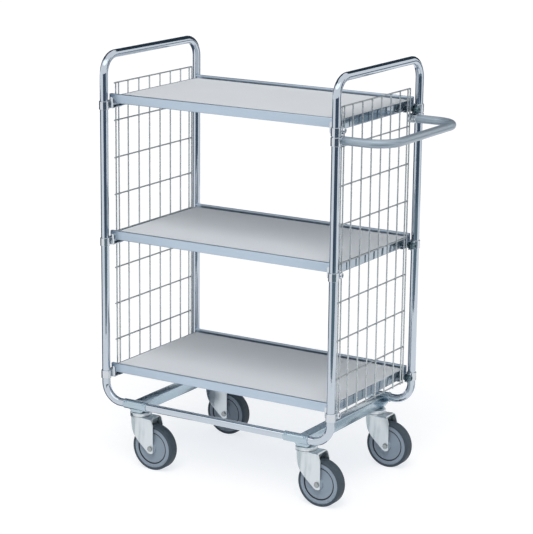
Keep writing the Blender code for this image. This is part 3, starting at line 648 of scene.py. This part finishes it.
def set_screw(x, y, side):
    """Small round-headed screw on the outer side of a sleeve."""
    profile = [(0, 0.0026), (0.0012, 0.0026), (0.0014, 0.0012), (0.0020, 0.0010), (0.0032, 0.0022), (0.0040, 0.0012),
               (0.0042, 0.0), (0.0042, -0.0015)]
    head = turned(profile, 24)
    head.transform(Matrix.Translation((0, 0, SLEEVE_R - 0.0004)))
    head.transform(Matrix.Rotation(-side * SCREW_TURN, 4, "X"))
    return at(head, x, y, BASE_Z)


member = cross_member()
piece("cross_member_tube_right", at(member, MIDDLE), plated, instead="cross_member_right")
piece("cross_member_tube_left", at(member, MIDDLE, flip=MIRROR_X), plated,
      instead="cross_member_left")


# Shelves: boards with folded edge trims and end bands

TRIM_LOW, TRIM_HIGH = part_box("top_shelf_trim_front")
TRIM_HALF = (TRIM_HIGH.x - TRIM_LOW.x) / 2
FACE_Y = -TRIM_LOW.y
BAND_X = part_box("top_shelf_band_right")[1].x - MIDDLE
BAND_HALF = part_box("top_shelf_board")[1].y

# Each sheet is drawn by the line through its middle. Heights are counted from the top of the lip.
TRIM_SHEET = 0.0012
TRIM_IN = 0.0007  # from the face in to the middle of the trim's sheet
TRIM_LIP = 0.008  # width of the flat top
TRIM_LEDGE = 0.0145  # reach of the ledge under the board
TRIM_LEDGE_Z = -0.0240  # the ledge, under the board
trim_line = [(-FACE_Y + TRIM_LIP + TRIM_IN, -0.0040), (-FACE_Y + TRIM_LIP + TRIM_IN, -0.0007),
             (-FACE_Y + TRIM_IN, -0.0009), (-FACE_Y + TRIM_IN, TRIM_LEDGE_Z), (-FACE_Y + TRIM_LEDGE, TRIM_LEDGE_Z)]
trim_shape = plate(folded(trim_line, TRIM_SHEET, 0.0014), -TRIM_HALF, TRIM_HALF, "X", 0.0002)
BAND_SHEET = 0.0018
BAND_IN = 0.001  # from the face in to the middle of the band's sheet
BAND_LEDGE = 0.0165  # reach of the ledge on the clamps' arms
BAND_TOP_Z, BAND_LEDGE_Z = -0.0081, -0.0340
band_line = [(BAND_X - BAND_IN, BAND_TOP_Z), (BAND_X - BAND_IN, BAND_LEDGE_Z), (BAND_X - BAND_LEDGE, BAND_LEDGE_Z)]
band_shape = plate(folded(band_line, BAND_SHEET, 0.0022), -BAND_HALF, BAND_HALF, "Y", 0.0003)
for level, lip in LEVELS:
    for depth_name, depth in FRONT_REAR:
        flip = MIRROR_Y if depth > 0 else None
        piece(f"{level}_edge_trim_{depth_name}", at(trim_shape, MIDDLE, 0, lip, flip=flip), trim,
              instead=f"{level}_shelf_trim_{depth_name}")
    for side_name, side in LEFT_RIGHT:
        flip = MIRROR_X if side < 0 else None
        piece(f"{level}_end_band_{side_name}", at(band_shape, MIDDLE, 0, lip, flip=flip), band,
              instead=f"{level}_shelf_band_{side_name}")
    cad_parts[f"{level}_shelf_board"].material_slots[0].material = board.material


# Clamps: a strap bent round the post, a socket-head bolt, an arm under the shelf and a hook tab before the trim

CLAMP_DROP = 0.031  # from the top of the lip down to the middle of the clamp
STRAP_SHEET = 0.0022
STRAP_HALF = 0.011
STRAP_MID = TUBE_R + SLIP + STRAP_SHEET / 2  # radius of the middle of the sheet
STRAP_OPEN = 0.30  # half the angle that the ring leaves open, in radians
STRAP_STEPS = 40
EAR_X = 0.0015 + STRAP_SHEET / 2  # half the slit between the ears, then half the sheet
EAR_END = 0.0315
BOLT_Y = 0.024
ARM_LOW_X, ARM_HIGH_X = -0.0229, -0.0121
ARM_TOP = -0.0045
ARM_SHEET = 0.0028
TAB_SHEET = 0.0027
TAB_TOP = 0.0225
HOOK_Y = 0.0096


def strap():
    """Flat strap bent round a post, its two ears pointing along +Y."""
    angles = [pi / 2 - STRAP_OPEN - (tau - 2 * STRAP_OPEN) * k / STRAP_STEPS for k in range(STRAP_STEPS + 1)]
    arc = [(STRAP_MID * cos(a), STRAP_MID * sin(a)) for a in angles]
    ear = [(EAR_X, EAR_END), (EAR_X, STRAP_MID * 1.18)]
    path = [Vector((x, y, 0)) for x, y in ear + arc + [(-x, y) for x, y in reversed(ear)]]
    high, thick, ease = STRAP_HALF, STRAP_SHEET / 2, 0.0006
    outline = [(-high + ease, -thick), (high - ease, -thick), (high, -thick + ease), (high, thick - ease),
               (high - ease, thick), (-high + ease, thick), (-high, thick - ease), (-high, -thick + ease)]
    return swept(path, outline)


def shelf_clamp():
    """The clamp of the front right corner, about the middle of the post."""
    washer = turned([(0.0040, 0), (0.0086, 0), (0.0089, 0.0003), (0.0089, 0.0012), (0.0086, 0.0015), (0.0040, 0.0015)],
                    36, "X", closed=True)
    dome = [(0.0048 + 0.0038 * cos(t), 0.0030 + 0.0052 * sin(t)) for t in quarter(8)]
    socket = [(0.0041, 0.0080), (0.0038, 0.0072), (0.0036, 0.0016), (0, 0.0014)]
    head = turned([(0, 0.0), (0.0082, 0.0), (0.0086, 0.0006)] + dome + socket, 36, "X")
    shank = turned([(0, -0.0095), (0.0030, -0.0095), (0.0034, -0.0088), (0.0034, 0.006), (0, 0.006)], 24, "X")
    arm = filleted([(-0.004, HOOK_Y - ARM_SHEET), (ARM_LOW_X, HOOK_Y - ARM_SHEET), (ARM_LOW_X, 0.0498),
                    (ARM_HIGH_X, 0.0498), (ARM_HIGH_X, 0.020), (-0.004, 0.020)], 0.0028, 5, closed=True)
    tab_low = ARM_TOP - 0.0026
    tab = filleted([(ARM_LOW_X, tab_low), (ARM_LOW_X, TAB_TOP), (ARM_HIGH_X, TAB_TOP), (ARM_HIGH_X, tab_low)],
                   0.0052, 8, closed=True)
    return together([strap(), at(washer, 0.0038, BOLT_Y), at(washer, -0.0053, BOLT_Y), at(head, 0.0052, BOLT_Y),
                     at(hexagon_nut(0.0080, 0.0034, side=-1), -0.0052, BOLT_Y, turn=(0.1, "X")),
                     at(shank, 0, BOLT_Y),
                     plate(flat(arm), ARM_TOP - ARM_SHEET, ARM_TOP, "Z", 0.0005),
                     plate(flat(tab), HOOK_Y - TAB_SHEET, HOOK_Y, "Y", 0.0005)])


clamp_front_right = shelf_clamp()
clamp_rear_right = at(clamp_front_right, flip=MIRROR_Y)
for level, lip in LEVELS:
    for name, sx, sy in CORNERS:
        mesh = clamp_front_right if sx * sy < 0 else clamp_rear_right
        turn = (pi, "Z") if sx < 0 else None
        piece(f"{level}_strap_clamp_{name}",
              at(mesh, along_x(sx * POST_X), sy * POST_Y, lip - CLAMP_DROP, turn=turn),
              clamp_steel_painted_shade, instead=f"{level}_clamp_{name}")


# Push handle and its clamps

HANDLE_LOW, HANDLE_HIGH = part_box("push_handle")
HANDLE_Y = HANDLE_HIGH.y - TUBE_R
HANDLE_Z = (HANDLE_LOW.z + HANDLE_HIGH.z) / 2
HANDLE_BEND, HANDLE_STEPS = 0.0615, 22
satin = handle_finish()
bar_x = HANDLE_HIGH.x - TUBE_R
handle_corners = [(HANDLE_LOW.x, -HANDLE_Y, HANDLE_Z), (bar_x, -HANDLE_Y, HANDLE_Z),
                  (bar_x, HANDLE_Y, HANDLE_Z), (HANDLE_LOW.x, HANDLE_Y, HANDLE_Z)]
piece("handle_bow", open_tube(filleted(handle_corners, HANDLE_BEND, HANDLE_STEPS)), satin,
      instead="push_handle")


def collar(radius, half, ease_in, ease_along, axis):
    """A ring that fits round a tube, its outer rims eased."""
    inner, face = TUBE_R + SLIP, radius - ease_in
    return turned([(inner, -half), (face, -half), (radius, -half + ease_along), (radius, half - ease_along),
                   (face, half), (inner, half)], axis=axis, closed=True)


ring = collar(0.0135, 0.011, 0.0006, 0.0007, "Z")
cuff = collar(0.0128, 0.012, 0.0005, 0.0006, "X")
post = along_x(POST_X)
for depth_name, depth in FRONT_REAR:
    parts = [at(ring, post, depth * POST_Y, HANDLE_Z), at(cuff, post - 0.003, depth * HANDLE_Y, HANDLE_Z)]
    piece(f"handle_clamp_ring_{depth_name}", together(parts), bright,
          instead=f"handle_clamp_{depth_name}")


# Welded wire mesh ends

WIRE_R = 0.002
WIRE_SIDES = 12
WIRE_Y = [-0.181, -0.168, -0.125, -0.075, -0.025, 0.025, 0.075, 0.125, 0.168, 0.181]
PANEL_LOW, PANEL_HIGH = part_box("mesh_panel_right")
PANEL_BOTTOM = PANEL_LOW.z + WIRE_R
PANEL_TOP = PANEL_HIGH.z - WIRE_R
LEVEL_WIRES = 9
WIRE_Z = [PANEL_BOTTOM + (PANEL_TOP - PANEL_BOTTOM) * k / (LEVEL_WIRES - 1) for k in range(LEVEL_WIRES)]
LAYER = 0.0033  # from the level wires to the upright ones, which are sunk into each other at the welds
WELD_R = 0.0026
wire = wire_finish(PANEL_BOTTOM, (PANEL_TOP - PANEL_BOTTOM) / (LEVEL_WIRES - 1))


def rod(a, b):
    """A wire cut at both ends, the rims eased."""
    return round_bar(straight(a, b, 1), WIRE_R, WIRE_SIDES, (1, 0, 0), 0.0005, 0.72)


def mesh_panel(level_x):
    upright_x = level_x + LAYER
    parts = [rod((upright_x, y, PANEL_BOTTOM - WIRE_R), (upright_x, y, PANEL_TOP + WIRE_R)) for y in WIRE_Y]
    parts += [rod((level_x, -PANEL_HIGH.y, z), (level_x, PANEL_HIGH.y, z)) for z in WIRE_Z]
    bm = bmesh.new()
    bmesh.ops.create_icosphere(bm, subdivisions=2, radius=WELD_R)
    bm.transform(Matrix.Diagonal((0.75, 1, 1, 1)))
    weld = made(bm, "weld")
    parts += [at(weld, (upright_x + level_x) / 2, y, z) for y in WIRE_Y for z in WIRE_Z]
    return together(parts)


for side_name in ("right", "left"):
    level_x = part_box(f"mesh_panel_{side_name}")[0].x + WIRE_R
    piece(f"wire_mesh_{side_name}", mesh_panel(level_x), wire, instead=f"mesh_panel_{side_name}")


# Casters, about the swivel axis at the height of the axle

WHEEL_R = 0.0625
TRAIL = 0.046  # from the swivel axis back to the axle
FORK_TOP = 0.146 - WHEEL_R
PLATE_T = 0.003
OUTER = 0.025  # from the middle of the fork to the outer face of a leg
INNER = 0.022
FORK_BEND = 0.006
FORK_FRONT, FORK_FOOT = -0.029, -0.018
LEG_TIP_R = 0.014
FORK_REAR = TRAIL * 1.11
CROWN_R = 0.029
PIN_HOLE_R = 0.0065
PIN_R = 0.0058
BOLT_R = 0.0039
TYRE_HALF = 0.016
SHOULDER_IN, SHOULDER_R = 0.0040, 0.0058  # size of the tyre's round shoulder across and outwards


def softened(points):
    """Corners cut three times over: each time, two points near a corner take its place."""
    for _ in range(3):
        out = [points[0]]
        for a, b in zip(points, points[1:]):
            out.append((a[0] * .75 + b[0] * .25, a[1] * .75 + b[1] * .25))
            out.append((a[0] * .25 + b[0] * .75, a[1] * .25 + b[1] * .75))
        out.append(points[-1])
        points = out
    return points


def raised(profile, z):
    return [(r, z + rise) for r, rise in profile]


def fork_shape():
    """A pressed fork: a channel over the wheel, cut to the outline of its legs, with a round crown and a ball race."""
    inner_bend = FORK_BEND - PLATE_T
    bend_y, bend_z = OUTER - FORK_BEND, FORK_TOP - FORK_BEND
    outside = [(OUTER, FORK_FOOT)] + [(bend_y + FORK_BEND * cos(a), bend_z + FORK_BEND * sin(a)) for a in quarter(8)]
    inside = [(bend_y + inner_bend * cos(a), bend_z + inner_bend * sin(a)) for a in reversed(quarter(8))]
    inside.append((INNER, FORK_FOOT))
    outline = outside + [(-y, z) for y, z in reversed(outside)] + [(-y, z) for y, z in reversed(inside)] + inside
    channel = plate(outline, FORK_FRONT, FORK_REAR + 0.004, "X")
    tip_turn = [radians(218 + 13 * k) for k in range(11)]
    tip = [(TRAIL + LEG_TIP_R * cos(a), LEG_TIP_R * sin(a)) for a in tip_turn]
    front = softened([(-0.0161, FORK_TOP + 0.004), (-0.0161, FORK_TOP), (-0.0140, FORK_TOP * 0.60),
                      (-0.0040, FORK_TOP * 0.31), tip[0]])
    rear = softened([tip[-1], (TRAIL * 1.33, FORK_TOP * 0.13), (TRAIL * 1.25, FORK_TOP * 0.60),
                     (FORK_REAR, FORK_TOP * 0.91), (FORK_REAR - 0.006, FORK_TOP),
                     (FORK_REAR - 0.006, FORK_TOP + 0.004)])
    side = plate(front[:-1] + tip + rear[1:], -0.03, 0.03, "Y")
    body = boolean(channel, side, "INTERSECT")
    crown = turned(raised([(PIN_HOLE_R, -PLATE_T), (CROWN_R - 0.0006, -PLATE_T), (CROWN_R, -0.0022),
                           (CROWN_R, -0.0008), (CROWN_R - 0.0006, 0.00001), (PIN_HOLE_R, 0.00001)], FORK_TOP),
                   64, closed=True)
    race = turned(raised([(0.0162, -0.001), (0.025, -0.001), (0.025, 0.0020), (0.0242, 0.0031), (0.0225, 0.0036),
                          (0.0165, 0.0036)], FORK_TOP), 64, closed=True)
    body = boolean(body, crown, "UNION")
    body = boolean(body, at(round_pin(PIN_HOLE_R, 0.02), 0, 0, FORK_TOP - 0.01), "DIFFERENCE")
    return together([eased(body, 0.0007, 50), race])


def round_pin(radius, length, axis="Z"):
    return turned([(0, 0), (radius, 0), (radius, length), (0, length)], 32, axis)


def head_shape(top):
    """Dished cup with a skirt over the ball race, kingpin and its nut."""
    under = FORK_TOP + 0.0040
    skirt = FORK_TOP + 0.0010
    profile = [(0, top - 0.0003), (0.0255, top - 0.0003), (0.0277, top - 0.0008), (0.0288, top - 0.0022),
               (0.0290, top - 0.0040), (0.0290, skirt + 0.0006), (0.0286, skirt), (0.0266, skirt),
               (0.0262, skirt + 0.0006), (0.0262, under), (PIN_R, under), (PIN_R, FORK_TOP - 0.004),
               (0, FORK_TOP - 0.004)]
    nut = hexagon_nut(0.0112, 0.0058, side=-1, axis="Z")
    pin = turned([(0, -0.0015), (0.0040, -0.0015), (0.0046, -0.0008), (0.0046, 0.004), (0, 0.004)], 24)
    low = FORK_TOP - PLATE_T - 0.0004
    return together([turned(profile, 64), at(nut, 0, 0, low), at(pin, 0, 0, low - 0.0064)])


def axle_shape():
    """A bolt through the hub, a washer and a hexagon at each end."""
    seat = OUTER + 0.0002
    thick = 0.0011
    shank = at(round_pin(BOLT_R, seat * 2, "Y"), 0, -seat, 0)
    washer = turned([(0.0040, 0), (0.0076, 0), (0.0080, 0.0003), (0.0080, 0.0008), (0.0076, thick), (0.0040, thick)],
                    36, "Y", closed=True)
    head = hexagon_nut(0.0072, 0.0034, "Y", side=-1)
    nut = hexagon_nut(0.0072, 0.0034, "Y")
    return together([shank, at(washer, 0, seat, 0), at(washer, 0, -seat - thick, 0),
                     at(head, 0, -seat - thick, 0, turn=(0.25, "Y")), at(nut, 0, seat + thick, 0, turn=(0.7, "Y"))])


def tyre_shape():
    """Moulded tread with round shoulders, seated on the rim of the hub."""
    shoulder = [(WHEEL_R - SHOULDER_R + SHOULDER_R * sin(a), TYRE_HALF - SHOULDER_IN + SHOULDER_IN * cos(a))
                for a in quarter(10)]
    seat = [(0.0553, 0.0120), (0.0553, TYRE_HALF - 0.0008), (0.0558, TYRE_HALF - 0.0002)]
    return both_faces(seat + shoulder + [(WHEEL_R, 0.006), (WHEEL_R, 0.0)])


def hub_shape():
    """Rim, groove, dished guard disc and boss, the same on both faces."""
    boss = [(0.0045, 0.0216), (0.0125, 0.0216), (0.0138, 0.0208), (0.0142, 0.0180), (0.0150, 0.0162)]
    disc = [(0.0185, 0.0150), (0.0300, 0.0138), (0.0385, 0.0134), (0.0410, 0.0136), (0.0418, 0.0130)]
    groove = [(0.0421, 0.0112), (0.0438, 0.0112)]
    rim = [(0.0440, 0.0142), (0.0446, 0.0150), (0.0462, 0.0153), (0.0500, 0.0154), (0.0535, 0.0152), (0.0550, 0.0145),
           (0.0551, 0.0120)]
    return both_faces(boss + disc + groove + rim)


fork_mesh = fork_shape()
head_mesh = head_shape(CROSS_BOTTOM - WHEEL_R)
axle_mesh = axle_shape()
tyre_mesh = tyre_shape()
hub_mesh = hub_shape()
for name, sx, sy in CORNERS:
    low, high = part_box(f"caster_{name}_head")
    swivel = Vector(((low.x + high.x) / 2, (low.y + high.y) / 2, WHEEL_R))
    axle = swivel + Vector((TRAIL, 0, 0))
    node = f"caster_{name}"
    fork, wheel = f"fork_{name}", f"wheel_{name}"
    piece(f"swivel_cup_{name}", head_mesh.copy(), zinc, f"{node}_head", where=swivel)
    piece(f"pressed_fork_{name}", fork_mesh.copy(), zinc, f"{node}_fork", fork, swivel)
    piece(f"axle_bolt_{name}", axle_mesh.copy(), nut_steel, f"{node}_axle", fork, axle)
    piece(f"tyre_{name}", tyre_mesh.copy(), rubber, f"{node}_tyre", wheel, axle)
    piece(f"wheel_hub_{name}", hub_mesh.copy(), hub_plastic, f"{node}_hub", wheel, axle)


# Floor, studio and camera

def card(name, points, faces, finish):
    mesh = bpy.data.meshes.new(name)
    mesh.from_pydata(points, [], faces)
    mesh.materials.append(finish.material)
    thing = bpy.data.objects.new(name, mesh)
    bpy.context.collection.objects.link(thing)
    return thing


def flag(name, finish, rows):
    """A studio card between two rows of points: metal shows it, the camera and the light do not meet it."""
    count = len(rows[0])
    faces = [(k, k + 1, count + k + 1, count + k) for k in range(count - 1)]
    thing = card(name, rows[0] + rows[1], faces, finish)
    thing.visible_camera = False
    thing.visible_diffuse = False
    thing.visible_shadow = False
    thing.visible_transmission = False


def floor_finish():
    """Pale matt floor, which glows a little for the camera and in the metal, so that it shows there near white."""
    f = Finish("pale_floor")
    looked_at = f.seen()
    return f.surface(Base_Color=f.mix(looked_at, (0.80, 0.83, 0.87), (0.36, 0.32, 0.28)), Roughness=1.0,
                     Emission_Color=f.mix(looked_at, (0, 0, 0), (0.72, 0.75, 0.79)),
                     Specular_IOR_Level=0.0, Emission_Strength=1.0)


FLOOR_REACH = 60
card("floor", [(sx * FLOOR_REACH, sy * FLOOR_REACH, 0) for sx, sy in ((-1, -1), (1, -1), (1, 1), (-1, 1))],
     [(0, 1, 2, 3)], floor_finish())

VIEW_TURN = radians(31.4)
toward = Vector((sin(VIEW_TURN), -cos(VIEW_TURN), 0))
right = Vector((cos(VIEW_TURN), sin(VIEW_TURN), 0))
ON_FLOOR = 0.001
navy = stage_finish("navy_flag", (0.070, 0.100, 0.140, 1))
teal = stage_finish("teal_flag", (0.150, 0.210, 0.245, 1))
ink = stage_finish("ink_flag", (0.030, 0.050, 0.070, 1))
slate = stage_finish("slate_flag", (0.30, 0.37, 0.43, 1))
pale = stage_finish("pale_flag", (0.52, 0.56, 0.60, 1))
box = stage_finish("soft_box", (1, 1, 1, 1), 1.7)


def directions(start, stop):
    """Nine angles between two, given in degrees."""
    return [radians(start + (stop - start) * k / 8) for k in range(9)]


def fan(start, stop, near, far, z):
    """A floor patch between two directions, counted from the camera's towards its right, its near side straight."""
    spans = directions(start, stop)
    inner = [toward * near + right * (near * sin(a) / cos(a)) for a in spans]
    outer = [(toward * cos(a) + right * sin(a)) * far for a in spans]
    return [[p + Vector((0, 0, z)) for p in row] for row in (inner, outer)]


def sweep(start, stop, reach, z):
    """Points round the trolley between two directions, counted from +Y towards -X."""
    return [Vector((-sin(a) * reach, cos(a) * reach, z)) for a in directions(start, stop)]


def wall(start, stop, reach, low, high):
    """An upright curved card."""
    return [sweep(start, stop, reach, low), sweep(start, stop, reach, high)]


def patch(start, stop, near, far):
    """A curved patch of floor."""
    return [sweep(start, stop, near, ON_FLOOR), sweep(start, stop, far, ON_FLOOR)]


flag("front_floor_flag", navy, fan(-26, 58, 2.9, 25.0, ON_FLOOR))
flag("front_near_flag", teal, fan(-26, 58, 1.44, 24.0, ON_FLOOR / 2))
flag("near_floor_flag", pale, [[(0.45, y, ON_FLOOR), (0.85, y, ON_FLOOR)] for y in (0.30, 0.95)])
flag("back_high_flag", ink, wall(-22, 100, 3, 1.02, 3.9))
flag("left_high_flag", navy, wall(36, 125, 3.1, 3.6, 6.0))
flag("soft_box", box, wall(128, 250, 3.2, 3.2, 6.5))
flag("right_low_flag", navy, wall(282, 304, 4, 1.1, 2.6))
flag("left_floor_flag", navy, patch(44, 117, 0.45, 8))
flag("back_right_flag", navy, patch(-50, -14, 6.2, 14))
flag("end_floor_flag", slate, patch(-45, -24, 3.6, 6.2))


def sun(name, place, strength, spread, tint=(1, 1, 1)):
    """A far soft lamp that shines from a place towards the trolley. Metal does not show it."""
    lamp = bpy.data.lights.new(name, "SUN")
    lamp.energy = strength
    lamp.angle = radians(spread)
    lamp.color = tint
    thing = bpy.data.objects.new(name, lamp)
    thing.rotation_mode = "QUATERNION"
    thing.rotation_quaternion = Vector(place).to_track_quat("Z", "Y")
    thing.visible_glossy = False
    bpy.context.collection.objects.link(thing)


sun("key", (1.6, -3.5, 5.2), 1.70, 32)
sun("fill", (-4.5, -2.6, 3.5), 0.22, 60, (0.95, 0.98, 1))
sun("top", (0, 0.5, 5.0), 0.47, 70)

world = bpy.data.worlds.new("studio")
bpy.context.scene.world = world
air = Nodes(world)
air.feed(air.tree.nodes["Background"],
         {"Color": air.mix(air.seen(), (0.25, 0.266, 0.273), (1, 1, 1)), "Strength": 1.0})

# The camera, as fitted to the photograph
TILT, ROLL = radians(13.74), radians(0.61)
SENSOR = 36
FOCAL_SHARE = 2060 / 533  # focal length over the width of the picture, both in pixels
AIM = Vector((MIDDLE + 0.020108, 0, 0.558))
DISTANCE = 5.50132
forward = -Vector((sin(VIEW_TURN) * cos(TILT), -cos(VIEW_TURN) * cos(TILT), sin(TILT)))
upward = right.cross(forward)
level_right = cos(ROLL) * right + sin(ROLL) * upward
level_up = -sin(ROLL) * right + cos(ROLL) * upward
place = AIM - forward * DISTANCE
lens = bpy.data.cameras.new("camera")
lens.sensor_width = SENSOR
lens.sensor_fit = "HORIZONTAL"
lens.lens = FOCAL_SHARE * SENSOR
lens.clip_end = 200
camera = bpy.data.objects.new("camera", lens)
bpy.context.collection.objects.link(camera)
camera.matrix_world = Matrix(((level_right.x, level_up.x, -forward.x, place.x),
                              (level_right.y, level_up.y, -forward.y, place.y),
                              (level_right.z, level_up.z, -forward.z, place.z), (0, 0, 0, 1)))
bpy.context.scene.camera = camera
bpy.context.scene.view_settings.view_transform = "Standard"
